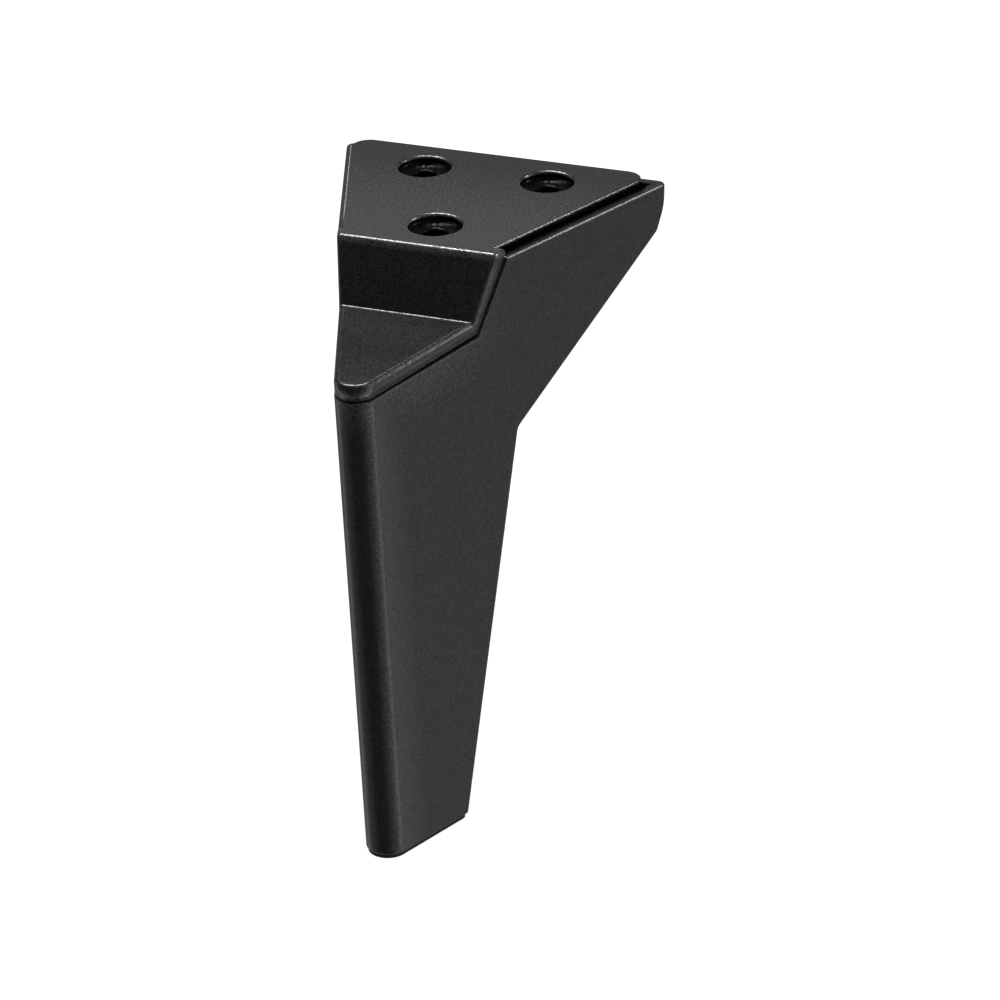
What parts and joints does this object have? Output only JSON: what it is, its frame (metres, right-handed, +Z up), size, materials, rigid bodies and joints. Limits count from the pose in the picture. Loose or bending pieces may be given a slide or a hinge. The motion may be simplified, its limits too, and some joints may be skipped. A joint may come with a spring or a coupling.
{
  "type": "plastic furniture leg",
  "caption": "Short moulded plastic furniture leg with a V-shaped plan, a rounded leaning front edge, a backward wing and a recessed screw-on mounting face.",
  "frame": {"origin": "on the mounting face, midway between the three screw holes", "axes": "+Z up out of the mounting face, -Y towards the rounded front edge, X across the leg"},
  "size_m": [0.0846, 0.1036, 0.15],
  "materials": {
    "shell_plastic": "moulded black plastic with a soft satin sheen",
    "plate_plastic": "moulded black plastic with a fine grain and light scuffs",
    "pad_rubber": "matt black"
  },
  "bodies": {
    "root": {"leg_shell": "shell_plastic", "mounting_plate": "plate_plastic", "foot_pad": "pad_rubber"}
  },
  "joints": []
}
